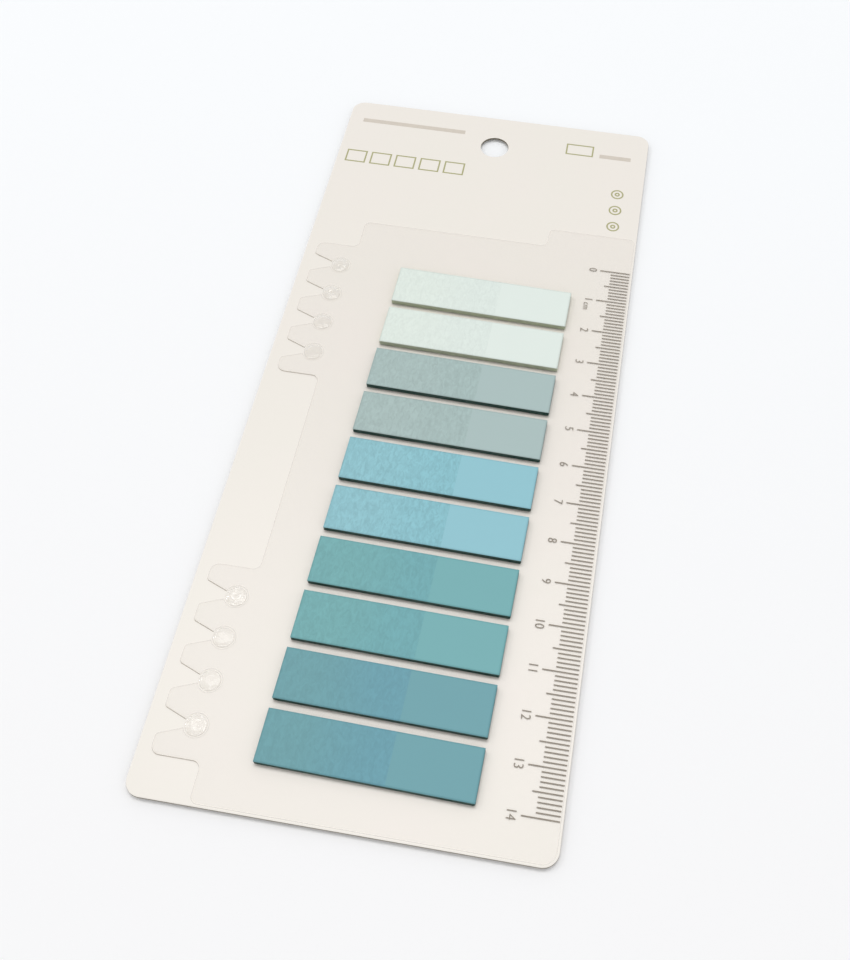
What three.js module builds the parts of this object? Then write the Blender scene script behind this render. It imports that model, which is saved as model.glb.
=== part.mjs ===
import * as THREE from "three";

// Sticky index tabs: a backing card that carries a clear ruler sheet with ten pads of tabs on it.
// Millimetres. The card lies face up with its back on z = 0, its centre on the origin and its top at +Y.

// Backing card
const CARD_WIDTH = 84;
const CARD_HEIGHT = 201;
const CARD_THICKNESS = 0.6;
const CARD_CORNER = 3.4;
const HANG_HOLE = 7.6;
const HANG_HOLE_FROM_TOP = 11.7;

// Clear ruler sheet, die cut from film
const SHEET_THICKNESS = 0.2;
const SHEET_MARGIN = 0.5;
const SHEET_FROM_CARD_TOP = 46;
const SPINE_FROM_CARD_EDGE = 13.2;
const RULER_END_RISE = 6;
const RULER_END_WIDTH = 22.4;
const SHEET_CORNER = 1.6;
const INNER_CORNER = 1.6;

// Binder edge: open holes on one ring pitch, four at each end of the sheet
const RING_PITCH = 9.5;
const RINGS_PER_GROUP = 4;
const GROUP_PITCH = 10 * RING_PITCH;
const LOWEST_RING = 15.5;
const RING_HOLE = 5;
const RING_FROM_CARD_EDGE = 10.1;
const TEETH_FROM_CARD_EDGE = 2.8;
const GROUP_OVERHANG = 7;
const NECK_WIDTH = 1.7;
const MOUTH_WIDTH = 5.6;
const TOOTH_CORNER = 1;
const GROUP_CORNER = 2;

// Pads of tabs, laid in one column that leans a little
const PAD_COLOURS = [0xdfe9e4, 0xa6bcbc, 0x86bfcc, 0x74adad, 0x629fa8];
const PADS_PER_COLOUR = 2;
const PAD_LENGTH = 43.6;
const PAD_DEPTH = 11.1;
const PAD_THICKNESS = 1.2;
const PAD_CORNER = 0.3;
const PAD_PITCH = 13.2;
const COLUMN_FROM_SPINE = 33.2;
const COLUMN_FROM_SHEET_FOOT = 74;
const COLUMN_LEAN = THREE.MathUtils.degToRad(1.1);

// Clear glue dots, one in each ring hole
const DOT_CLEARANCE = 0.3;
const DOT_HEIGHT = 0.5;
const DOT_RIM = 0.15;
const DOT_PROFILE_STEPS = 5;

const ARC_STEPS = 8;
const CIRCLE_STEPS = 32;

const cardLeft = -CARD_WIDTH / 2;
const cardBottom = -CARD_HEIGHT / 2;
const cardTop = CARD_HEIGHT / 2;
const sheetRight = CARD_WIDTH / 2 - SHEET_MARGIN;
const sheetBottom = cardBottom + SHEET_MARGIN;
const sheetTop = cardTop - SHEET_FROM_CARD_TOP;
const spine = cardLeft + SPINE_FROM_CARD_EDGE;
const ringX = cardLeft + RING_FROM_CARD_EDGE;
const teethX = cardLeft + TEETH_FROM_CARD_EDGE;
const ringRadius = RING_HOLE / 2;
const sheetBase = CARD_THICKNESS;
const padBase = sheetBase + SHEET_THICKNESS;
const columnX = spine + COLUMN_FROM_SPINE;
const columnY = sheetBottom + COLUMN_FROM_SHEET_FOOT;

const cardMaterial = new THREE.MeshStandardMaterial({ color: 0xeee8e1, roughness: 0.35, metalness: 0 });
const sheetMaterial = new THREE.MeshStandardMaterial({ color: 0xf3f1ec, roughness: 0.12, metalness: 0 });
const dotMaterial = new THREE.MeshStandardMaterial({ color: 0xfafafa, roughness: 0.08, metalness: 0 });
const padMaterials = PAD_COLOURS.map(
  (color) => new THREE.MeshStandardMaterial({ color, roughness: 0.5, metalness: 0 }),
);

const group = new THREE.Group();

function addPiece(name, geometry, material, height) {
  const mesh = new THREE.Mesh(geometry, material);
  mesh.name = name;
  mesh.position.z = height;
  group.add(mesh);
  return mesh;
}

function flatPiece(shape, thickness) {
  return new THREE.ExtrudeGeometry(shape, {
    depth: thickness,
    bevelEnabled: false,
    curveSegments: CIRCLE_STEPS / 2,
  });
}

function arc(centre, radius, from, to, clockwise) {
  return new THREE.EllipseCurve(centre.x, centre.y, radius, radius, from, to, clockwise);
}

// The arc that rounds the corner between two straight sides and meets both of them.
function cornerArc(before, corner, after, radius) {
  const back = before.clone().sub(corner).normalize();
  const ahead = after.clone().sub(corner).normalize();
  const halfAngle = back.angleTo(ahead) / 2;
  const reach = radius / Math.tan(halfAngle);
  const start = back.clone().multiplyScalar(reach).add(corner);
  const end = ahead.clone().multiplyScalar(reach).add(corner);
  const centre = back.clone().add(ahead).setLength(radius / Math.sin(halfAngle)).add(corner);
  const from = start.clone().sub(centre).angle();
  const to = end.clone().sub(centre).angle();
  return arc(centre, radius, from, to, back.cross(ahead) > 0).getPoints(ARC_STEPS);
}

// An outline from a list of corners. A corner may have a radius, and one with a curve ends in it.
function outline(corners) {
  const points = corners.flatMap((corner, i) => {
    const before = corners[(i + corners.length - 1) % corners.length].at;
    const after = corners[(i + 1) % corners.length].at;
    if (corner.radius) {
      return cornerArc(before, corner.at, after, corner.radius);
    }
    return [corner.at, ...(corner.curve ?? [])];
  });
  return new THREE.Shape(points);
}

function corner(x, y, radius = 0) {
  return { at: new THREE.Vector2(x, y), radius };
}

function roundedRectangle(width, height, radius) {
  const x = width / 2;
  const y = height / 2;
  return outline([corner(-x, -y, radius), corner(x, -y, radius), corner(x, y, radius), corner(-x, y, radius)]);
}

function backingCard() {
  const shape = roundedRectangle(CARD_WIDTH, CARD_HEIGHT, CARD_CORNER);
  const hole = new THREE.Path();
  hole.absarc(0, cardTop - HANG_HOLE_FROM_TOP, HANG_HOLE / 2, 0, 2 * Math.PI, true);
  shape.holes.push(hole);
  return flatPiece(shape, CARD_THICKNESS);
}

// Height of the centre of a ring hole: rings count upwards within a group, groups upwards on the card.
function ringY(groupIndex, ring) {
  return cardBottom + LOWEST_RING + groupIndex * GROUP_PITCH + ring * RING_PITCH;
}

// A ring hole seen from the edge: a flared mouth leads through a narrow neck into the round hole.
function ringSlot(y) {
  const neckAngle = Math.asin(NECK_WIDTH / RING_HOLE);
  const neckX = ringX - ringRadius * Math.cos(neckAngle);
  const neckIn = corner(neckX, y + NECK_WIDTH / 2);
  const round = arc(new THREE.Vector2(ringX, y), ringRadius, Math.PI - neckAngle, neckAngle - Math.PI, true);
  neckIn.curve = round.getPoints(CIRCLE_STEPS).slice(1, -1);
  return [
    corner(teethX, y + MOUTH_WIDTH / 2, TOOTH_CORNER),
    neckIn,
    corner(neckX, y - NECK_WIDTH / 2),
    corner(teethX, y - MOUTH_WIDTH / 2, TOOTH_CORNER),
  ];
}

// One group of teeth down the edge, from the sheet's spine above it to the spine below it.
function toothGroup(groupIndex) {
  const rings = Array.from({ length: RINGS_PER_GROUP }, (_, i) => RINGS_PER_GROUP - 1 - i);
  const top = ringY(groupIndex, RINGS_PER_GROUP - 1) + GROUP_OVERHANG;
  const end = ringY(groupIndex, 0) - GROUP_OVERHANG;
  return [
    corner(spine, top, INNER_CORNER),
    corner(teethX, top, GROUP_CORNER),
    ...rings.flatMap((ring) => ringSlot(ringY(groupIndex, ring))),
    corner(teethX, end, GROUP_CORNER),
    corner(spine, end, INNER_CORNER),
  ];
}

function rulerSheet() {
  const rulerTop = sheetTop + RULER_END_RISE;
  const rulerStep = sheetRight - RULER_END_WIDTH;
  const footCorner = CARD_CORNER - SHEET_MARGIN;
  const shape = outline([
    corner(spine, sheetBottom, SHEET_CORNER),
    corner(sheetRight, sheetBottom, footCorner),
    corner(sheetRight, rulerTop, SHEET_CORNER),
    corner(rulerStep, rulerTop, SHEET_CORNER),
    corner(rulerStep, sheetTop, INNER_CORNER),
    corner(spine, sheetTop, SHEET_CORNER),
    ...toothGroup(1),
    ...toothGroup(0),
  ]);
  return flatPiece(shape, SHEET_THICKNESS);
}

function glueDot() {
  const radius = ringRadius - DOT_CLEARANCE;
  const profile = [new THREE.Vector2(0, 0), new THREE.Vector2(radius, 0)];
  for (let i = 0; i <= DOT_PROFILE_STEPS; i += 1) {
    const out = 1 - i / DOT_PROFILE_STEPS;
    profile.push(new THREE.Vector2(radius * out, DOT_RIM + (DOT_HEIGHT - DOT_RIM) * (1 - out * out)));
  }
  return new THREE.LatheGeometry(profile, CIRCLE_STEPS / 2).rotateX(Math.PI / 2);
}

addPiece("backing_card", backingCard(), cardMaterial, 0);
addPiece("ruler_sheet", rulerSheet(), sheetMaterial, sheetBase);

const dotGeometry = glueDot();
for (let groupIndex = 0; groupIndex < 2; groupIndex += 1) {
  for (let ring = 0; ring < RINGS_PER_GROUP; ring += 1) {
    const number = groupIndex * RINGS_PER_GROUP + ring + 1;
    const dot = addPiece(`glue_dot_${number}`, dotGeometry, dotMaterial, sheetBase);
    dot.position.x = ringX;
    dot.position.y = ringY(groupIndex, ring);
  }
}

const padGeometry = flatPiece(roundedRectangle(PAD_LENGTH, PAD_DEPTH, PAD_CORNER), PAD_THICKNESS);
const padCount = PAD_COLOURS.length * PADS_PER_COLOUR;
for (let i = 0; i < padCount; i += 1) {
  const material = padMaterials[Math.floor(i / PADS_PER_COLOUR)];
  const name = `tab_pad_${String(i + 1).padStart(2, "0")}`;
  const pad = addPiece(name, padGeometry, material, padBase);
  const along = ((padCount - 1) / 2 - i) * PAD_PITCH;
  pad.position.x = columnX + along * Math.sin(COLUMN_LEAN);
  pad.position.y = columnY + along * Math.cos(COLUMN_LEAN);
  pad.rotation.z = -COLUMN_LEAN;
}

export default group;
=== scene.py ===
import math
import random

import bmesh
import bpy
from mathutils import Matrix, Vector, noise


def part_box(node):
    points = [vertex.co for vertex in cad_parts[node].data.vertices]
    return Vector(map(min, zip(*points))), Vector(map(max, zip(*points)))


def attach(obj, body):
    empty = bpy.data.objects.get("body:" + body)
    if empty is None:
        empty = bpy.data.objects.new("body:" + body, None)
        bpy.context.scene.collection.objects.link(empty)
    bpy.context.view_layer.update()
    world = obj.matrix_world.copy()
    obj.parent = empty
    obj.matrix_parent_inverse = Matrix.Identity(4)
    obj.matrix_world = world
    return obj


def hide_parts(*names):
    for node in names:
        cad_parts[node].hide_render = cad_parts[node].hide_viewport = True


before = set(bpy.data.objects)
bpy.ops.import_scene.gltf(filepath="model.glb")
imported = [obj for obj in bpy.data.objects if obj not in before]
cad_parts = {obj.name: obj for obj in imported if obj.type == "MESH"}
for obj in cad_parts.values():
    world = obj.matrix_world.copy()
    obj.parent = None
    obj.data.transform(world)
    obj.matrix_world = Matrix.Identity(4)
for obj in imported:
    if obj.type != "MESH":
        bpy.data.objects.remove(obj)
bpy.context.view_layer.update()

bl_info = {
    "name": "Sticky Index Tabs",
    "version": (1, 0, 0),
    "blender": (4, 5, 0),
    "location": "View3D > Sidebar > Index Tabs",
    "description": "Dresses a card of sticky index tabs: clear ruler sheet, pads of tabs, print and stage",
    "category": "Object",
}

MM = 0.001
BODY = "root"
IMAGE_WIDTH = 850
# How far the picture is shifted off the lens's axis, in pixels of an image of that width
PICTURE_SHIFT = (-51.7, -5.7)
# The sockets of a colour mix node, by number, because its names repeat
MIX_FACTOR, MIX_A, MIX_B, MIX_RESULT = 0, 6, 7, 2
CARD_LOW, CARD_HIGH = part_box("backing_card")
SHEET_LOW, SHEET_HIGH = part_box("ruler_sheet")
# The air under a clear piece, which keeps it off what it lies on
AIR_FILM = 0.03 * MM
# The card isn't quite flat, so it stands a hair off the table
TABLE_GAP = 0.6 * MM
PAD_NODES = sorted(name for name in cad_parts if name.startswith("tab_pad_"))
DOT_NODES = sorted(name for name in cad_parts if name.startswith("glue_dot_"))
# What the mesh tools take as one point, one flat face, a sharp edge and one level
WELD = 0.0005 * MM
FLAT_ANGLE = math.radians(0.5)
SHARP_ANGLE = math.radians(60)
LEVEL_ERROR = 0.001 * MM
# Height of a face's normal: above the first the face lies flat, below the second it is a wall
FLAT_NORMAL = 0.99
WALL_NORMAL = 0.5
# An edge of the film whose normal's Y is below this faces down the card, away from the lamps, and gets a
# painted shade
SHADED_EDGE_NORMAL = -0.3
# How far from a glue dot the edge of its ring hole is at most, and how high up the film its foot reaches
HOLE_EDGE = 0.6 * MM
FOOT_REACH = 3 * MM
# How far the two kinds of film edge cover what lies below: the lighter one, partly a painted highlight, and
# the painted shade
LIT_EDGE_COVER, SHADED_EDGE_COVER = 0.3, 0.7
# Indices of refraction. The last is higher than any glue's, for glints that show on dots of this size.
BOARD_INK, LAMINATE, PVC, POLYESTER, SILICONE, WET_GLINT = 1.5, 1.49, 1.53, 1.57, 1.41, 1.9


def linear(hex_colour):
    """An sRGB colour such as "EEE8E1" as the linear red, green and blue that shaders take."""
    channels = [int(hex_colour[i:i + 2], 16) / 255 for i in (0, 2, 4)]
    return tuple(c / 12.92 if c <= 0.04045 else ((c + 0.055) / 1.055) ** 2.4 for c in channels)


def length(name, millimetres, description):
    """A length that a user may change, shown in the scene's units."""
    return bpy.props.FloatProperty(
        name=name, description=description, default=millimetres * MM, unit="LENGTH", precision=5, min=0
    )


def colour(name, hex_colour, description):
    """A colour that a user may change."""
    return bpy.props.FloatVectorProperty(
        name=name, description=description, default=linear(hex_colour), subtype="COLOR", size=3, min=0, max=1
    )


class CardSettings(bpy.types.PropertyGroup):
    edge: length("Edge rounding", 0.2, "Rounding that the laminating rollers leave on the upper edges")
    face: colour("Face", "EEE8DF", "Cream print under the laminate")
    # The rim is lighter than the face: partly the glossier laminate, partly a painted highlight along the
    # edge
    rim: colour("Rim", "F6F0E8", "Laminate rolled over the edge")
    # The core is partly the board's darker pulp, partly painted shade, as dark as the edge looks in its
    # shadow
    core: colour("Core", "7D7462", "Cut edge of the board")


class SheetSettings(bpy.types.PropertyGroup):
    edge: length("Cut edge", 0.12, "Rounding of the die-cut edge")
    body: colour("Film", "E2DAD8", "Clear film seen face on")
    # The film's edge is drawn in two colours by the way it faces: the lighter one partly a painted highlight,
    # the darker one painted shade
    cut: colour("Clean edge", "F7F3EE", "Film edge that the die left clear")
    crushed: colour("Crushed edge", "B4AA9C", "Film edge on the side where the die crushed it")


class DotSettings(bpy.types.PropertyGroup):
    dimple: length("Dimple", 0.24, "Depth of the dimple that the applicator leaves in each dot")
    groove: length("Groove", 0.04, "Depth of the groove round the dot, inside its rim")
    # The glue's milky white, lighter than the card, shows most at the dots' rims as a painted reflection
    glue: colour("Glue", "F9F6F1", "Milky tint of the clear glue")


class PadSettings(bpy.types.PropertyGroup):
    leaves: bpy.props.IntProperty(
        name="Leaves", description="Leaves in each pad", default=20, min=2, max=60
    )
    stray: length("Stray", 0.02, "How far a leaf lies out of line with the rest of its pad")
    adhesive: length("Adhesive", 26, "Length of each leaf that has adhesive under it")
    ripple: length("Ripple", 0.02, "Height of the ripples over the adhesive")
    mint: colour("Pale mint", "E2EBE4", "First pair of pads")
    grey_blue: colour("Grey blue", "A9BDBB", "Second pair of pads")
    sky: colour("Sky blue", "8FC3CE", "Third pair of pads")
    sea: colour("Sea green", "73ADB0", "Fourth pair of pads")
    teal: colour("Teal", "6CA1A9", "Fifth pair of pads")
    mint_side: colour("Pale mint sides", "BFC6AC", "Cut sides of the first pair of pads")
    deep_side: colour("Deep sides", "294D45", "Cut sides of the other pads")


class PrintSettings(bpy.types.PropertyGroup):
    ink: colour("Ruler ink", "8F8578", "Warm grey ink of the ruler")
    accent: colour("Accent ink", "ABA87A", "Olive ink of the ornament")
    quiet: colour("Quiet ink", "D3C9BC", "Pale warm ink of the ornament's bands")
    zero: length("Zero", 148.9, "Height of the ruler's zero above the card's lower edge")
    centimetres: bpy.props.IntProperty(
        name="Centimetres", description="Length of the ruler", default=14, min=1, max=18
    )
    long_tick: length("Centimetre tick", 7.5, "Length of a centimetre tick")
    half_tick: length("Half tick", 6.0, "Length of a half-centimetre tick")
    short_tick: length("Millimetre tick", 4.75, "Length of a millimetre tick")
    tick_line: length("Tick line", 0.24, "Width of a tick's line")
    tick_margin: length("Tick margin", 0.25, "Distance from the ticks' outer ends to the sheet's edge")
    digit: length("Digit size", 2.85, "Type size of the numbers")
    ornament_line: length("Ornament line", 0.4, "Width of the ornament's outlines")


class StageSettings(bpy.types.PropertyGroup):
    floor: colour("Floor", "FBFAFA", "Pale matt table, near the viewer")
    # The far floor colour is a painted tint of the window's light, which makes the table bluer further off
    far_floor: colour("Far floor", "FBFCFD", "The same table further off, where it takes the window's tint")
    camera_x: length("Camera right", 32.4, "Camera's distance to the right of the card's middle")
    camera_back: length("Camera back", 151.7, "Camera's distance below the card's middle")
    camera_up: length("Camera height", 214.9, "Camera's height over the table")
    tilt: bpy.props.FloatProperty(
        name="Tilt", description="Camera's tilt from straight down",
        default=math.radians(32.293), subtype="ANGLE",
    )
    lean: bpy.props.FloatProperty(
        name="Lean", description="Camera's lean to the side",
        default=math.radians(-0.788), subtype="ANGLE",
    )
    turn: bpy.props.FloatProperty(
        name="Turn", description="Camera's turn about the vertical",
        default=math.radians(9.539), subtype="ANGLE",
    )
    lens: bpy.props.FloatProperty(
        name="Lens", description="Focal length on a 36 mm frame, in millimetres", default=47.587, min=1
    )


def add_node(tree, kind, values=None, links=None, **settings):
    """Adds a node, sets its properties and input values, and links other nodes' outputs to its inputs."""
    node = tree.nodes.new(kind)
    for name, value in settings.items():
        setattr(node, name, value)
    for socket, value in (values or {}).items():
        node.inputs[socket].default_value = value
    for socket, output in (links or {}).items():
        tree.links.new(output, node.inputs[socket])
    return node


def new_material(name, base, **sockets):
    """A material with one Principled shader, whose plain values sit on its own sockets."""
    material = bpy.data.materials.new(name)
    material.use_nodes = True
    tree = material.node_tree
    shader = tree.nodes["Principled BSDF"]
    shader.inputs["Base Color"].default_value = (*base, 1)
    for socket, value in sockets.items():
        shader.inputs[socket.replace("_", " ")].default_value = value
    return material, tree, shader


def grain(tree, size, detail=3, stretch=(1, 1, 1), distortion=0, roughness=0.5, place=None):
    """Noise whose grains are size millimetres across, in the object's own coordinates or in given ones."""
    if place is None:
        place = add_node(tree, "ShaderNodeTexCoord").outputs["Object"]
    scale = tuple(s / (size * MM) for s in stretch)
    mapping = add_node(tree, "ShaderNodeMapping", {"Scale": scale}, {"Vector": place})
    return add_node(
        tree, "ShaderNodeTexNoise",
        {"Scale": 1, "Detail": detail, "Roughness": roughness, "Distortion": distortion},
        {"Vector": mapping.outputs["Vector"]},
    )


def tint(base, factors):
    """A colour made lighter or darker by one factor, or by one for each channel."""
    each = factors if isinstance(factors, tuple) else (factors,) * 3
    return (*(min(1, c * factor) for c, factor in zip(base, each)), 1)


def mottle(tree, shader, base, source, low, high):
    """Varies the base colour with a grain, from a low share of it to a high one."""
    mix = add_node(
        tree, "ShaderNodeMix", {MIX_A: tint(base, low), MIX_B: tint(base, high)},
        {MIX_FACTOR: source.outputs["Fac"]}, data_type="RGBA",
    )
    tree.links.new(mix.outputs[MIX_RESULT], shader.inputs["Base Color"])


def raise_surface(tree, shader, source, height, strength):
    """Turns a grain into relief of a height in millimetres."""
    bump = add_node(
        tree, "ShaderNodeBump", {"Strength": strength, "Distance": height * MM},
        {"Height": source.outputs["Fac"]},
    )
    tree.links.new(bump.outputs["Normal"], shader.inputs["Normal"])


def laminated_board(settings):
    """Cream board under a satin laminate: a soft sheen, faint pulp texture and a hue that drifts a little.

    The pulp is drawn coarser than it is, so that it shows.
    """
    base = tuple(settings.face)
    material, tree, shader = new_material(
        "board_satin_laminate", base,
        Roughness=0.42, IOR=BOARD_INK, Coat_Weight=0.35, Coat_Roughness=0.28, Coat_IOR=LAMINATE,
    )
    mottle(tree, shader, base, grain(tree, 26, detail=2), low=(0.985, 1, 0.985), high=(1.012, 0.992, 1.005))
    raise_surface(tree, shader, grain(tree, 0.9, detail=2), height=0.012, strength=0.5)
    return material


def laminate_rim(settings):
    """The laminate rolled over the board's edge: thicker and glossier there, and drawn lighter than the face
    as a painted highlight, so it draws a bright line.
    """
    base = tuple(settings.rim)
    material, tree, shader = new_material(
        "laminate_rolled_rim_painted_highlight", base, Roughness=0.22, IOR=BOARD_INK, Specular_IOR_Level=0.8
    )
    mottle(tree, shader, base, grain(tree, 12), low=0.97, high=1.02)
    return material


def cut_board(settings):
    """The guillotined edge of the board: rougher pulp in thin layers, darker partly by its own colour and
    partly by painted shade.
    """
    base = tuple(settings.core)
    material, tree, shader = new_material("board_guillotined_edge_and_painted_shade", base, Roughness=0.85)
    mottle(tree, shader, base, grain(tree, 0.5, stretch=(0.3, 0.3, 4)), low=0.75, high=1.1)
    return material


def clear_film(settings):
    """Calendered clear PVC film: nearly unseen face on, with a sheen that drifts where it isn't flat."""
    base = tuple(settings.body)
    material, tree, shader = new_material("pvc_film_calendered", base, Roughness=0.16, IOR=PVC, Alpha=0.03)
    raise_surface(tree, shader, grain(tree, 22, detail=2), height=0.3, strength=0.6)
    material.surface_render_method = "BLENDED"
    return material


def cut_film(name, base, cover):
    """The die-cut edge of the film: a light line, partly a painted highlight, or a dull one, a painted shade
    on edges that face down the card.
    """
    material, tree, shader = new_material(
        f"pvc_film_die_cut_{name}", base, Roughness=0.3, IOR=PVC, Alpha=cover
    )
    mottle(tree, shader, base, grain(tree, 3), low=0.94, high=1.04)
    material.surface_render_method = "BLENDED"
    return material


def clear_glue(settings):
    """Cast silicone dot: water clear with a wet gloss, milky only where its rim turns away from the eye,
    which is a painted reflection.
    """
    base = tuple(settings.glue)
    material, tree, shader = new_material(
        "silicone_glue_cast", base, Roughness=0.08,
        IOR=SILICONE, Specular_IOR_Level=1, Coat_Weight=1, Coat_Roughness=0.05, Coat_IOR=WET_GLINT,
    )
    raise_surface(tree, shader, grain(tree, 2.2, detail=1, distortion=0.4), height=0.1, strength=0.5)
    # The glue covers more where its surface turns away from the eye: a painted reflection at the rim
    turned = add_node(tree, "ShaderNodeLayerWeight", {"Blend": 0.5})
    cover = add_node(
        tree, "ShaderNodeMapRange", {"From Min": 0.2, "From Max": 0.9, "To Min": 0.17, "To Max": 0.85},
        {"Value": turned.outputs["Facing"]},
    )
    tree.links.new(cover.outputs["Result"], shader.inputs["Alpha"])
    material.surface_render_method = "BLENDED"
    return material


def column_place(tree):
    """Coordinates that follow the leaning column of pads: X along a tab from the column's middle line."""
    middle, lean = pad_column()
    place = add_node(tree, "ShaderNodeTexCoord")
    leaning = add_node(
        tree, "ShaderNodeMapping", {"Location": (*middle, 0), "Rotation": (0, 0, lean)},
        {"Vector": place.outputs["Object"]}, vector_type="TEXTURE",
    )
    return leaning.outputs["Vector"]


def plain_leaf(name, base):
    """Cast polyester film, printed solid: smooth and satin where it has no adhesive under it."""
    material, tree, shader = new_material(
        f"polyester_leaf_{name}", base, Roughness=0.6, IOR=POLYESTER, Specular_IOR_Level=0.4
    )
    mottle(tree, shader, base, grain(tree, 6), low=0.99, high=1.01)
    raise_surface(tree, shader, grain(tree, 2.5, detail=2), height=0.02, strength=0.4)
    return material


# Where a leaf over adhesive starts to change its hue and where it has, from the column's middle line, with
# the distance that the change drifts by
HUE_START = -12 * MM
HUE_END = 8 * MM
HUE_DRIFT = 10 * MM


def sticky_leaf(name, base, shade, swing, turned):
    """The same film over a coat of adhesive: leathery where it puckers, darker, and off in hue at its end.

    The shade is the share of the colour that it shows on average, the swing what the puckers add or take, and
    turned the shares of red, green and blue at the end of the adhesive.
    """
    material, tree, shader = new_material(
        f"polyester_leaf_over_adhesive_{name}", base,
        Roughness=0.62, IOR=POLYESTER, Specular_IOR_Level=0.4,
    )
    place = column_place(tree)
    patches = grain(tree, 13, detail=1, stretch=(0.7, 1, 1), distortion=0.4, roughness=0.55, place=place)
    puckers = grain(tree, 0.75, detail=2, stretch=(1, 0.5, 1), distortion=0.9, roughness=0.55, place=place)
    contrast = add_node(
        tree, "ShaderNodeMapRange", {"From Min": 0.32, "From Max": 0.68}, {"Value": puckers.outputs["Fac"]}
    )
    dip, crest = shade - swing, shade + swing
    parts = add_node(tree, "ShaderNodeSeparateXYZ", links={0: place})
    along = add_node(
        tree, "ShaderNodeMath", {1: HUE_DRIFT}, {0: patches.outputs["Fac"], 2: parts.outputs["X"]},
        operation="MULTIPLY_ADD",
    )
    change = add_node(
        tree, "ShaderNodeMapRange", {"From Min": HUE_START, "From Max": HUE_END},
        {"Value": along.outputs[0]}, interpolation_type="SMOOTHSTEP",
    )
    hue = add_node(
        tree, "ShaderNodeMix", {MIX_A: tint(base, (1, 1, 0.985)), MIX_B: tint(base, turned)},
        {MIX_FACTOR: change.outputs["Result"]}, data_type="RGBA",
    )
    depth = add_node(
        tree, "ShaderNodeMix", {MIX_A: (dip, dip, dip, 1), MIX_B: (crest, crest, crest, 1)},
        {MIX_FACTOR: contrast.outputs["Result"]}, data_type="RGBA",
    )
    both = add_node(
        tree, "ShaderNodeMix", {MIX_FACTOR: 1},
        {MIX_A: hue.outputs[MIX_RESULT], MIX_B: depth.outputs[MIX_RESULT]},
        data_type="RGBA", blend_type="MULTIPLY",
    )
    tree.links.new(both.outputs[MIX_RESULT], shader.inputs["Base Color"])
    raise_surface(tree, shader, puckers, height=0.1, strength=0.8)
    return material


def leaf_edges(name, base):
    """The cut side of a pad: light sinks into the stacked films, so it is far darker than their faces.

    Its layers are drawn twice as thick as a leaf, so that they show.
    """
    material, tree, shader = new_material(f"polyester_stack_cut_{name}", base, Roughness=0.5)
    mottle(tree, shader, base, grain(tree, 0.12, stretch=(0.05, 0.05, 1)), low=0.7, high=1.15)
    return material


def printed_ink(name, base):
    """Screen-printed ink: flat and matt, a little uneven."""
    material, tree, shader = new_material(f"ink_screen_printed_{name}", base, Roughness=0.6)
    mottle(tree, shader, base, grain(tree, 1.2), low=0.92, high=1.06)
    return material


def matt_table(settings):
    """Painted board table: pale and matt, with a faint rolled texture, and a little bluer further off, a
    painted tint of the window's light.
    """
    base = tuple(settings.floor)
    material, tree, shader = new_material("table_rolled_paint", base, Roughness=0.75)
    place = add_node(tree, "ShaderNodeTexCoord")
    parts = add_node(tree, "ShaderNodeSeparateXYZ", links={0: place.outputs["Object"]})
    # Bluer towards the far side: painted light from the window
    depth = add_node(
        tree, "ShaderNodeMapRange", {"From Min": CARD_LOW.y, "From Max": CARD_HIGH.y},
        {"Value": parts.outputs["Y"]},
    )
    paint = add_node(
        tree, "ShaderNodeMix", {MIX_A: (*base, 1), MIX_B: (*settings.far_floor, 1)},
        {MIX_FACTOR: depth.outputs["Result"]}, data_type="RGBA",
    )
    tree.links.new(paint.outputs[MIX_RESULT], shader.inputs["Base Color"])
    raise_surface(tree, shader, grain(tree, 1.5), height=0.03, strength=0.3)
    return material


def solid_from(node_name):
    """The node's solid with its facets joined into whole flat faces."""
    mesh = bmesh.new()
    mesh.from_mesh(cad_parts[node_name].data)
    bmesh.ops.remove_doubles(mesh, verts=mesh.verts, dist=WELD)
    bmesh.ops.dissolve_limit(mesh, angle_limit=FLAT_ANGLE, verts=mesh.verts, edges=mesh.edges)
    return mesh


def add_piece(name, mesh, materials, replaced=()):
    """Makes a piece of a bmesh, gives it its materials and lets it ride on the card."""
    data = bpy.data.meshes.new(name)
    mesh.normal_update()
    mesh.to_mesh(data)
    mesh.free()
    piece = bpy.data.objects.new(name, data)
    bpy.context.scene.collection.objects.link(piece)
    for material in materials:
        data.materials.append(material)
    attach(piece, BODY)
    if replaced:
        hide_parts(*replaced)
    return piece


def lift_base(mesh, base):
    """Raises the underside of a clear piece off what it lies on, by the air film under it."""
    for vertex in mesh.verts:
        vertex.co.z = max(vertex.co.z, base + AIR_FILM)


def round_rim(mesh, width, level, segments=2):
    """Rounds the edges between the flat face at the given height and the walls."""
    rim = [
        edge for edge in mesh.edges
        if len(edge.link_faces) == 2
        and edge.calc_face_angle(0) > SHARP_ANGLE
        and all(abs(v.co.z - level) < LEVEL_ERROR for v in edge.verts)
    ]
    bmesh.ops.bevel(mesh, geom=rim, offset=width, segments=segments, profile=0.5, affect="EDGES")


def sort_faces(mesh, choose):
    """Gives each face that isn't flat the material that the chooser names for it, and smooths it."""
    mesh.normal_update()
    for face in mesh.faces:
        face.smooth = abs(face.normal.z) < FLAT_NORMAL
        face.material_index = choose(face) if face.smooth else 0


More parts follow.
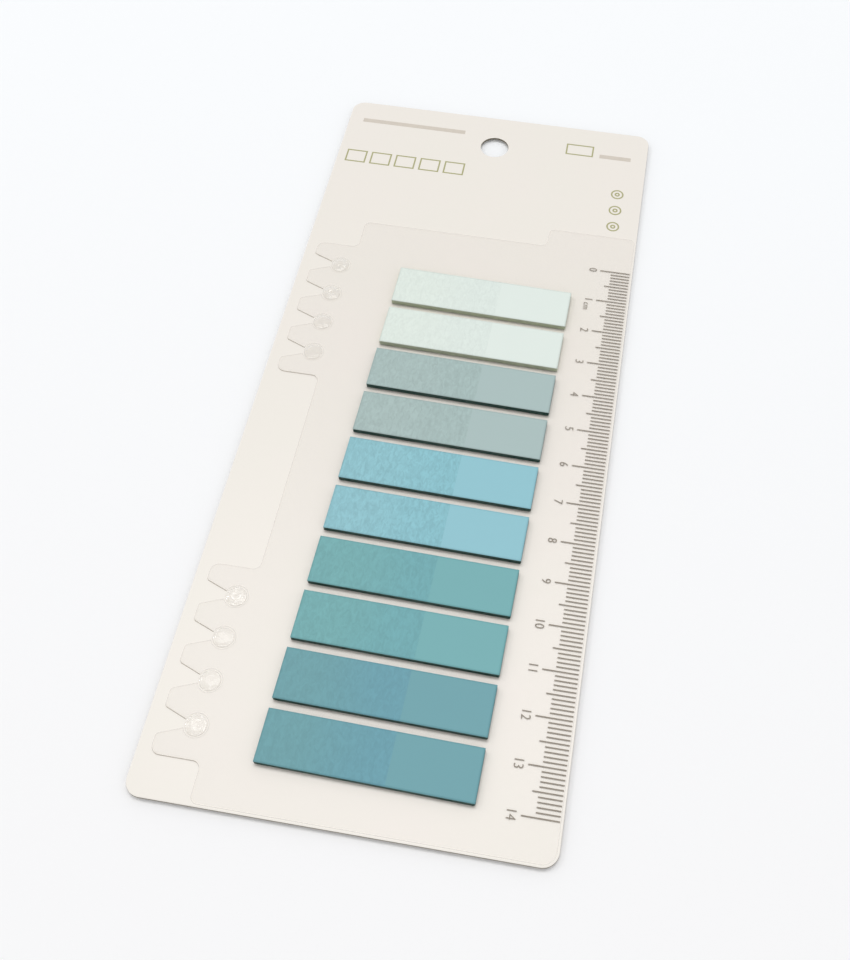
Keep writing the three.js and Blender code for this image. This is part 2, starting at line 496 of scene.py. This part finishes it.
class TABS_OT_card(bpy.types.Operator):
    """Makes the laminated backing card with its hang hole"""
    bl_idname = "index_tabs.card"
    bl_label = "Backing Card"

    def execute(self, context):
        settings = context.scene.tabs_card
        mesh = solid_from("backing_card")
        round_rim(mesh, settings.edge, CARD_HIGH.z, segments=3)
        round_rim(mesh, settings.edge / 2, CARD_LOW.z)
        sort_faces(mesh, lambda face: 1 if abs(face.normal.z) < WALL_NORMAL else 2)
        materials = [laminated_board(settings), cut_board(settings), laminate_rim(settings)]
        add_piece("laminated_card", mesh, materials, ["backing_card"])
        return {"FINISHED"}


def is_crushed(face, dots):
    """Whether this edge gets the painted shade: those that face down the card, away from the lamps, save the
    foot and the ring holes.
    """
    spot = face.calc_center_median()
    in_hole = any(
        (spot - (low + high) / 2).to_2d().length < (high.x - low.x) / 2 + HOLE_EDGE for low, high in dots
    )
    at_foot = spot.y < SHEET_LOW.y + FOOT_REACH
    return face.normal.y < SHADED_EDGE_NORMAL and not in_hole and not at_foot


class TABS_OT_sheet(bpy.types.Operator):
    """Makes the clear ruler sheet with its toothed binder edge"""
    bl_idname = "index_tabs.sheet"
    bl_label = "Ruler Sheet"

    def execute(self, context):
        settings = context.scene.tabs_sheet
        mesh = solid_from("ruler_sheet")
        lift_base(mesh, SHEET_LOW.z)
        round_rim(mesh, settings.edge, SHEET_HIGH.z)
        dots = [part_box(name) for name in DOT_NODES]
        # Edges that face down the card get the painted shade, the others the lighter edge, partly a painted
        # highlight
        sort_faces(mesh, lambda face: 2 if is_crushed(face, dots) else 1)
        materials = [
            clear_film(settings),
            cut_film("lit_edge", tuple(settings.cut), LIT_EDGE_COVER),
            cut_film("crushed", tuple(settings.crushed), SHADED_EDGE_COVER),
        ]
        add_piece("die_cut_sheet", mesh, materials, ["ruler_sheet"])
        return {"FINISHED"}


# A glue dot: its mesh's rings and steps, and its features as shares of its radius or height
DOT_RINGS, DOT_STEPS = 18, 36
RIM_HEIGHT = 0.3
DIMPLE_REACH = 0.42
GROOVE_PLACE, GROOVE_REACH = 0.8, 0.07
WOBBLE = 0.03
LUMPS = 0.35
LUMP_SCALE = 1.4
# How far apart in the noise the dots lie, so that no two are alike
DOT_SEED_STEP = 3.7


def dot_mesh(low, high, dimple, groove, seed):
    """A domed dot with a soft dimple and a ring groove, a little uneven, on a flat base."""
    steps = DOT_STEPS
    radius = (high.x - low.x) / 2
    rise = high.z - low.z
    rim = rise * RIM_HEIGHT
    middle = (low + high) / 2
    mesh = bmesh.new()
    loops = []
    for ring in range(DOT_RINGS + 1):
        out = 1 - ring / (DOT_RINGS + 1)
        loop = []
        for step in range(steps):
            angle = 2 * math.pi * step / steps
            way = Vector((math.cos(angle), math.sin(angle), 0))
            height = Vector((0, 0, seed))
            wobble = WOBBLE * noise.noise(way + height)
            lump = noise.noise(LUMP_SCALE * out * way + height)
            dome = rim + (rise - rim) * (1 - out * out) * (1 - LUMPS * abs(lump))
            dome -= dimple * (1 + lump) * math.exp(-(out / DIMPLE_REACH) ** 2) / (1 + LUMPS)
            dome -= groove * math.exp(-((out - GROOVE_PLACE) / GROOVE_REACH) ** 2)
            foot = Vector((middle.x, middle.y, low.z)) + way * radius * out * (1 - abs(wobble))
            loop.append(mesh.verts.new(foot + Vector((0, 0, dome))))
        loops.append(loop)
    base = [mesh.verts.new((v.co.x, v.co.y, low.z)) for v in loops[0]]
    centre = sum((v.co for v in loops[-1]), Vector()) / steps
    top = mesh.verts.new(centre)
    for lower, upper in zip([base] + loops[:-1], loops):
        for step in range(steps):
            after = (step + 1) % steps
            mesh.faces.new((lower[step], lower[after], upper[after], upper[step]))
    for step in range(steps):
        mesh.faces.new((loops[-1][step], loops[-1][(step + 1) % steps], top))
    mesh.faces.new(list(reversed(base)))
    for face in mesh.faces:
        face.smooth = len(face.verts) < steps
    return mesh


class TABS_OT_dots(bpy.types.Operator):
    """Makes the clear glue dots in the ring holes"""
    bl_idname = "index_tabs.dots"
    bl_label = "Glue Dots"

    def execute(self, context):
        settings = context.scene.tabs_dots
        material = clear_glue(settings)
        for seed, node_name in enumerate(DOT_NODES):
            low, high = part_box(node_name)
            mesh = dot_mesh(low, high, settings.dimple, settings.groove, seed * DOT_SEED_STEP)
            lift_base(mesh, low.z)
            add_piece(node_name.replace("glue_dot", "cast_dot"), mesh, [material], [node_name])
        return {"FINISHED"}


def pad_axes(node_name):
    """A pad's middle, its directions along and across, and its half sizes, from its solid."""
    mesh = solid_from(node_name)
    longest = max(mesh.edges, key=lambda edge: edge.calc_length())
    along = (longest.verts[1].co - longest.verts[0].co).normalized()
    along = along if along.x > 0 else -along
    across = Vector((-along.y, along.x, 0))
    spans = [[v.co.dot(axis) for v in mesh.verts] for axis in (along, across)]
    half = [(max(span) - min(span)) / 2 for span in spans]
    middle = sum(((max(span) + min(span)) / 2 * axis for span, axis in zip(spans, (along, across))), Vector())
    mesh.free()
    return middle, along, across, half


def pad_column():
    """The middle of the column of pads, and the angle that it leans by."""
    first = pad_axes(PAD_NODES[0])[0]
    last = pad_axes(PAD_NODES[-1])[0]
    rise = first - last
    middle = (first + last) / 2
    return (middle.x, middle.y), math.atan2(-rise.x, rise.y)


# The seed of all that lies at random in the pads, and the range of the ripples' own seeds
PAD_SEED = 11
RIPPLE_SEEDS = (0, 99)
# A pad's leaves: how they are rounded, and how unevenly they lie (shares of their stray, and an angle)
LEAF_CORNER = 0.3 * MM
STRAY_ALONG, STRAY_ACROSS = 0.5, 0.4
LEAF_TURN = math.radians(0.05)
# A leaf fills this part of its share of the pad's height, so that the leaves can be told apart
LEAF_LEVELS = (0.04, 0.96)
# The ripples' width and length, and how far they take to die out at the end of the adhesive
RIPPLE_WIDTH = 1.3 * MM
RIPPLE_LENGTH = 5 * MM
RIPPLE_FADE = 2 * MM
RIPPLE_BEND = 1.5
# The cells of the top leaf's grid, and how far below the pad's top it lies, as a share of a leaf
LEAF_CELL = 0.5 * MM
TOP_DROP = 0.2


def leaf_outline(half, steps=3):
    """The outline of one leaf: a rectangle with its corners just taken off."""
    points = []
    for quarter, (sx, sy) in enumerate(((1, 1), (-1, 1), (-1, -1), (1, -1))):
        centre = Vector((sx * (half[0] - LEAF_CORNER), sy * (half[1] - LEAF_CORNER)))
        for step in range(steps + 1):
            angle = math.pi / 2 * (quarter + step / steps)
            points.append(centre + LEAF_CORNER * Vector((math.cos(angle), math.sin(angle))))
    return points


def leaf_stack(axes, low, high, settings, randomly):
    """All leaves of a pad but the top one, each a little out of line."""
    middle, along, across, half = axes
    thickness = (high - low) / settings.leaves
    mesh = bmesh.new()
    for leaf in range(settings.leaves - 1):
        shift = Vector((randomly.gauss(0, STRAY_ALONG), randomly.gauss(0, STRAY_ACROSS))) * settings.stray
        turn = Matrix.Rotation(randomly.gauss(0, LEAF_TURN), 2)
        loops = []
        for level in LEAF_LEVELS:
            z = low + (leaf + level) * thickness
            loop = []
            for point in leaf_outline(half):
                u, v = turn @ point + shift
                loop.append(mesh.verts.new(middle + along * u + across * v + Vector((0, 0, z))))
            loops.append(loop)
        bottom, top = loops
        for i in range(len(bottom)):
            j = (i + 1) % len(bottom)
            mesh.faces.new((bottom[i], bottom[j], top[j], top[i]))
        mesh.faces.new(list(reversed(bottom)))
        mesh.faces.new(top)
    return mesh


def ripple_height(u, v, seed, settings, edge):
    """Relief of the top leaf: fine cross ripples over the adhesive, which die out at its end."""
    fade = max(0, min(1, (edge - u) / RIPPLE_FADE))
    point = Vector((u / RIPPLE_WIDTH, v / RIPPLE_LENGTH, seed))
    wave = noise.noise(point + Vector((noise.noise(point / 2) * RIPPLE_BEND, 0, 0)))
    return settings.ripple * fade * wave


def top_leaf(axes, top, settings, seed):
    """The top leaf: a fine grid with real ripples, closed below, in one material at each end."""
    middle, along, across, half = axes
    columns = round(2 * half[0] / LEAF_CELL)
    rows = round(2 * half[1] / LEAF_CELL)
    edge = settings.adhesive - half[0]
    thickness = (top - SHEET_HIGH.z) / settings.leaves
    mesh = bmesh.new()
    grid = []
    for i in range(columns + 1):
        u = -half[0] + 2 * half[0] * i / columns
        if abs(u - edge) < LEAF_CELL / 2:
            u = edge
        line = []
        for j in range(rows + 1):
            v = -half[1] + 2 * half[1] * j / rows
            z = top - TOP_DROP * thickness + ripple_height(u, v, seed, settings, edge)
            line.append(mesh.verts.new(middle + along * u + across * v + Vector((0, 0, z))))
        grid.append(line)
    for i in range(columns):
        u = -half[0] + 2 * half[0] * (i + 0.5) / columns
        for j in range(rows):
            face = mesh.faces.new((grid[i][j], grid[i + 1][j], grid[i + 1][j + 1], grid[i][j + 1]))
            face.material_index = 0 if u < edge else 1
            face.smooth = True
    rim = [grid[i][0] for i in range(columns)] + [grid[-1][j] for j in range(rows)]
    rim += [grid[i][-1] for i in range(columns, 0, -1)] + [grid[0][j] for j in range(rows, 0, -1)]
    under = [mesh.verts.new((v.co.x, v.co.y, top - thickness)) for v in rim]
    for i in range(len(rim)):
        j = (i + 1) % len(rim)
        mesh.faces.new((under[i], under[j], rim[j], rim[i])).material_index = 2
    mesh.faces.new(list(reversed(under))).material_index = 2
    return mesh


class TABS_OT_pads(bpy.types.Operator):
    """Makes the pads of tabs leaf by leaf"""
    bl_idname = "index_tabs.pads"
    bl_label = "Pads of Tabs"

    def execute(self, context):
        settings = context.scene.tabs_pads
        deep = settings.deep_side
        # Name, colour of the leaves and of the cut sides, and shade, swing and last hue over the adhesive
        finishes = (
            ("pale_mint", settings.mint, settings.mint_side, 0.98, 0.04, (0.98, 0.985, 0.985)),
            ("grey_blue", settings.grey_blue, deep, 0.955, 0.08, (0.965, 0.985, 0.975)),
            ("sky_blue", settings.sky, deep, 0.945, 0.1, (0.91, 0.977, 0.974)),
            ("sea_green", settings.sea, deep, 0.95, 0.07, (0.93, 0.975, 1.01)),
            ("teal", settings.teal, deep, 0.95, 0.06, (0.93, 0.985, 1.06)),
        )
        randomly = random.Random(PAD_SEED)
        per_colour = len(PAD_NODES) // len(finishes)
        for index, (name, base, side, *adhesive_look) in enumerate(finishes):
            faces = [sticky_leaf(name, tuple(base), *adhesive_look), plain_leaf(name, tuple(base))]
            edge = leaf_edges(name, tuple(side))
            for node_name in PAD_NODES[index * per_colour:(index + 1) * per_colour]:
                axes = pad_axes(node_name)
                low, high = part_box(node_name)
                stack = leaf_stack(axes, low.z, high.z, settings, randomly)
                add_piece(node_name.replace("tab_pad", "leaf_stack"), stack, [edge], [node_name])
                leaf = top_leaf(axes, high.z, settings, randomly.uniform(*RIPPLE_SEEDS))
                add_piece(node_name.replace("tab_pad", "top_leaf"), leaf, [*faces, edge])
        return {"FINISHED"}


INK_THICKNESS = 0.02 * MM
# The numbers are in a narrow face: their width is this share of the usual one
NUMBER_WIDTH = 0.88
# Shares of the type size: how much its strokes are thinned, and from a tick's end to a number's middle
STROKE_OFFSET = -0.01
NUMBER_GAP = 0.68
# The unit's size and shift towards the tabs, as shares of the type size, and its distance from the zero
UNIT_SIZE = 0.8
UNIT_SHIFT = 0.12
UNIT_FROM_ZERO = 12.3 * MM
# The ornament in millimetres from the card's upper left corner: left, right, bottom and top of each shape
WIDE_MARK = (61.6, 69.2, 10.8, 6.6)
TAB_MARK = (2.4, 8, 24.2, 19.6)
TAB_MARKS = 5
TAB_MARK_PITCH = 6.8
BANDS = ((4, 33, 8, 6.6), (71, 79.6, 10.8, 9.4))
# The double rings below it: their middles' distances from the card's right and upper edges, and their radii
RING_MARKS = 3
RING_FROM_RIGHT = 6.7 * MM
RING_FROM_TOP = 24 * MM
RING_PITCH = 6 * MM
RING_RADII = (1.7 * MM, 0.7 * MM)


def ink_bar(mesh, left, right, bottom, top, base):
    """One printed bar, as thick as a coat of ink."""
    place = Matrix.Translation(((left + right) / 2, (bottom + top) / 2, base + INK_THICKNESS / 2))
    size = Matrix.Diagonal((right - left, top - bottom, INK_THICKNESS, 1))
    bmesh.ops.create_cube(mesh, size=1, matrix=place @ size)


def ink_frame(mesh, left, right, bottom, top, line, base):
    """A printed outline of a rectangle, from four bars that meet at its corners."""
    ink_bar(mesh, left, right, bottom, bottom + line, base)
    ink_bar(mesh, left, right, top - line, top, base)
    ink_bar(mesh, left, left + line, bottom + line, top - line, base)
    ink_bar(mesh, right - line, right, bottom + line, top - line, base)


def ink_ring(mesh, middle, radius, line, steps=32):
    """A printed ring, as thick as a coat of ink."""
    loops = []
    for reach, rise in ((radius, 0), (radius, 1), (radius - line, 1), (radius - line, 0)):
        loop = []
        for step in range(steps):
            angle = 2 * math.pi * step / steps
            out = Vector((math.cos(angle), math.sin(angle), 0)) * reach
            loop.append(mesh.verts.new(middle + out + Vector((0, 0, rise * INK_THICKNESS))))
        loops.append(loop)
    for lower, upper in zip(loops, loops[1:] + loops[:1]):
        for step in range(steps):
            after = (step + 1) % steps
            mesh.faces.new((lower[step], lower[after], upper[after], upper[step]))


def lettering(mesh, text, size, place):
    """Adds a number or unit in Blender's own type, slimmed, as thin printed shapes."""
    curve = bpy.data.curves.new("type", "FONT")
    curve.body = text
    curve.size = size
    curve.offset = STROKE_OFFSET * size
    curve.align_x = "CENTER"
    curve.align_y = "CENTER"
    curve.extrude = INK_THICKNESS / 2
    curve.resolution_u = 6
    holder = bpy.data.objects.new("type", curve)
    data = bpy.data.meshes.new_from_object(holder)
    data.transform(place)
    mesh.from_mesh(data)
    bpy.data.objects.remove(holder)
    bpy.data.curves.remove(curve)
    bpy.data.meshes.remove(data)


class TABS_OT_ruler(bpy.types.Operator):
    """Prints the ruler's ticks and numbers on the clear sheet"""
    bl_idname = "index_tabs.ruler"
    bl_label = "Ruler Print"

    def execute(self, context):
        settings = context.scene.tabs_print
        ink = printed_ink("warm_grey", tuple(settings.ink))
        zero = CARD_LOW.y + settings.zero
        end = SHEET_HIGH.x - settings.tick_margin
        half = settings.tick_line / 2
        ticks = bmesh.new()
        for count in range(10 * settings.centimetres + 1):
            reach = settings.short_tick
            if count % 5 == 0:
                reach = settings.half_tick
            if count % 10 == 0:
                reach = settings.long_tick
            y = zero - count * MM
            ink_bar(ticks, end - reach, end, y - half, y + half, SHEET_HIGH.z)
        add_piece("ruler_ticks", ticks, [ink])
        numbers = bmesh.new()
        x = end - settings.long_tick - NUMBER_GAP * settings.digit
        downwards = Matrix.Rotation(-math.pi / 2, 4, "Z") @ Matrix.Diagonal((NUMBER_WIDTH, 1, 1, 1))
        for count in range(settings.centimetres + 1):
            spot = Vector((x, zero - 10 * count * MM, SHEET_HIGH.z + INK_THICKNESS / 2))
            lettering(numbers, str(count), settings.digit, Matrix.Translation(spot) @ downwards)
        unit_x = x - UNIT_SHIFT * settings.digit
        spot = Vector((unit_x, zero - UNIT_FROM_ZERO, SHEET_HIGH.z + INK_THICKNESS / 2))
        lettering(numbers, "cm", UNIT_SIZE * settings.digit, Matrix.Translation(spot) @ downwards)
        add_piece("ruler_numbers", numbers, [ink])
        return {"FINISHED"}


def on_card(shape, shift=0):
    """Left, right, bottom and top in the frame, from millimetres off the card's upper left corner."""
    left, right, bottom, top = shape
    across = CARD_LOW.x + shift * MM
    return across + left * MM, across + right * MM, CARD_HIGH.y - bottom * MM, CARD_HIGH.y - top * MM


class TABS_OT_ornament(bpy.types.Operator):
    """Prints a plain ornament of small tab shapes at the head of the card"""
    bl_idname = "index_tabs.ornament"
    bl_label = "Card Ornament"

    def execute(self, context):
        settings = context.scene.tabs_print
        inks = [printed_ink("olive", tuple(settings.accent)), printed_ink("pale_grey", tuple(settings.quiet))]
        mesh = bmesh.new()
        line = settings.ornament_line
        for index in range(TAB_MARKS):
            ink_frame(mesh, *on_card(TAB_MARK, index * TAB_MARK_PITCH), line, CARD_HIGH.z)
        ink_frame(mesh, *on_card(WIDE_MARK), line, CARD_HIGH.z)
        for index in range(RING_MARKS):
            y = CARD_HIGH.y - RING_FROM_TOP - index * RING_PITCH
            for radius in RING_RADII:
                ink_ring(mesh, Vector((CARD_HIGH.x - RING_FROM_RIGHT, y, CARD_HIGH.z)), radius, line)
        olive_faces = len(mesh.faces)
        for band in BANDS:
            ink_bar(mesh, *on_card(band), CARD_HIGH.z)
        for index, face in enumerate(mesh.faces):
            face.material_index = int(index >= olive_faces)
        add_piece("card_ornament", mesh, inks)
        return {"FINISHED"}


# Metres from the table's middle to its edges, and from the camera to the nearest thing it shows
TABLE_REACH = 8
NEAR_CLIP = 0.01
# Width of the camera's frame, in millimetres
SENSOR_WIDTH = 36
# The light that comes from all round: its tint and its strength
FILL_TINT = (0.97, 0.985, 1, 1)
FILL_STRENGTH = 0.65
# Name, place in metres, width, depth and watts of each lamp. Both shine on the card's middle.
LAMPS = (
    ("window", (-0.2, 1.4, 4.4), 3, 1.8, 70),
    ("side_lamp", (-2.6, 1, 2.8), 0.4, 0.4, 11),
)


def pale_table(settings):
    """The table under the card, which isn't part of the object."""
    mesh = bmesh.new()
    bmesh.ops.create_grid(mesh, x_segments=8, y_segments=8, size=TABLE_REACH)
    data = bpy.data.meshes.new("table")
    mesh.to_mesh(data)
    mesh.free()
    data.materials.append(matt_table(settings))
    table = bpy.data.objects.new("table", data)
    table.location.z = -TABLE_GAP
    bpy.context.scene.collection.objects.link(table)


def soft_room():
    """Even light from all round, which the camera, gloss and clear pieces see as plain white."""
    world = bpy.data.worlds.new("soft_room")
    world.use_nodes = True
    tree = world.node_tree
    tree.nodes.clear()
    path = add_node(tree, "ShaderNodeLightPath")
    seen = path.outputs["Is Camera Ray"]
    for ray in ("Is Glossy Ray", "Is Transmission Ray"):
        either = add_node(tree, "ShaderNodeMath", links={0: seen, 1: path.outputs[ray]}, operation="MAXIMUM")
        seen = either.outputs[0]
    fill = add_node(tree, "ShaderNodeBackground", {"Color": FILL_TINT, "Strength": FILL_STRENGTH})
    white = add_node(tree, "ShaderNodeBackground", {"Color": (1, 1, 1, 1), "Strength": 1})
    mix = add_node(tree, "ShaderNodeMixShader", links={0: seen, 1: fill.outputs[0], 2: white.outputs[0]})
    add_node(tree, "ShaderNodeOutputWorld", links={"Surface": mix.outputs[0]})
    bpy.context.scene.world = world


def soft_lamp(name, place, width, depth, power):
    """A rectangular lamp that shines on the card's middle."""
    light = bpy.data.lights.new(name, "AREA")
    light.shape = "RECTANGLE"
    light.size = width
    light.size_y = depth
    light.energy = power
    lamp = bpy.data.objects.new(name, light)
    lamp.location = place
    lamp.rotation_euler = (-lamp.location).to_track_quat("-Z", "Y").to_euler()
    bpy.context.scene.collection.objects.link(lamp)


def photo_camera(settings):
    """The camera, at the photograph's viewing angle."""
    camera = bpy.data.objects.new("camera", bpy.data.cameras.new("camera"))
    camera.data.sensor_fit = "HORIZONTAL"
    camera.data.sensor_width = SENSOR_WIDTH
    camera.data.lens = settings.lens
    camera.data.shift_x, camera.data.shift_y = (pixels / IMAGE_WIDTH for pixels in PICTURE_SHIFT)
    camera.data.clip_start = NEAR_CLIP
    camera.location = (settings.camera_x, -settings.camera_back, settings.camera_up)
    camera.rotation_euler = (settings.tilt, settings.lean, settings.turn)
    bpy.context.scene.collection.objects.link(camera)
    bpy.context.scene.camera = camera


class TABS_OT_stage(bpy.types.Operator):
    """Makes the table, the soft light and the camera"""
    bl_idname = "index_tabs.stage"
    bl_label = "Stage"

    def execute(self, context):
        settings = context.scene.tabs_stage
        context.scene.view_settings.view_transform = "Standard"
        pale_table(settings)
        soft_room()
        for lamp in LAMPS:
            soft_lamp(*lamp)
        photo_camera(settings)
        return {"FINISHED"}


PIECES = (
    TABS_OT_card, TABS_OT_sheet, TABS_OT_dots, TABS_OT_pads, TABS_OT_ruler, TABS_OT_ornament, TABS_OT_stage,
)
SETTINGS = {
    "tabs_card": CardSettings,
    "tabs_sheet": SheetSettings,
    "tabs_dots": DotSettings,
    "tabs_pads": PadSettings,
    "tabs_print": PrintSettings,
    "tabs_stage": StageSettings,
}


class TABS_PT_panel(bpy.types.Panel):
    """Lists the pieces of the card of index tabs, with their settings"""
    bl_idname = "TABS_PT_panel"
    bl_label = "Index Tabs"
    bl_space_type = "VIEW_3D"
    bl_region_type = "UI"
    bl_category = "Index Tabs"

    def draw(self, context):
        for operator in PIECES:
            self.layout.operator(operator.bl_idname)
        for pointer in SETTINGS:
            group = getattr(context.scene, pointer)
            box = self.layout.box()
            for name in group.bl_rna.properties.keys():
                if name not in ("rna_type", "name"):
                    box.prop(group, name)


CLASSES = (*SETTINGS.values(), *PIECES, TABS_PT_panel)


def register():
    for cls in CLASSES:
        bpy.utils.register_class(cls)
    for pointer, group in SETTINGS.items():
        setattr(bpy.types.Scene, pointer, bpy.props.PointerProperty(type=group))


def unregister():
    for pointer in SETTINGS:
        delattr(bpy.types.Scene, pointer)
    for cls in reversed(CLASSES):
        bpy.utils.unregister_class(cls)


def main():
    register()
    tabs = bpy.ops.index_tabs
    tabs.card()
    tabs.sheet()
    tabs.dots()
    tabs.pads()
    tabs.ruler()
    tabs.ornament()
    tabs.stage()


if __name__ == "__main__":
    main()
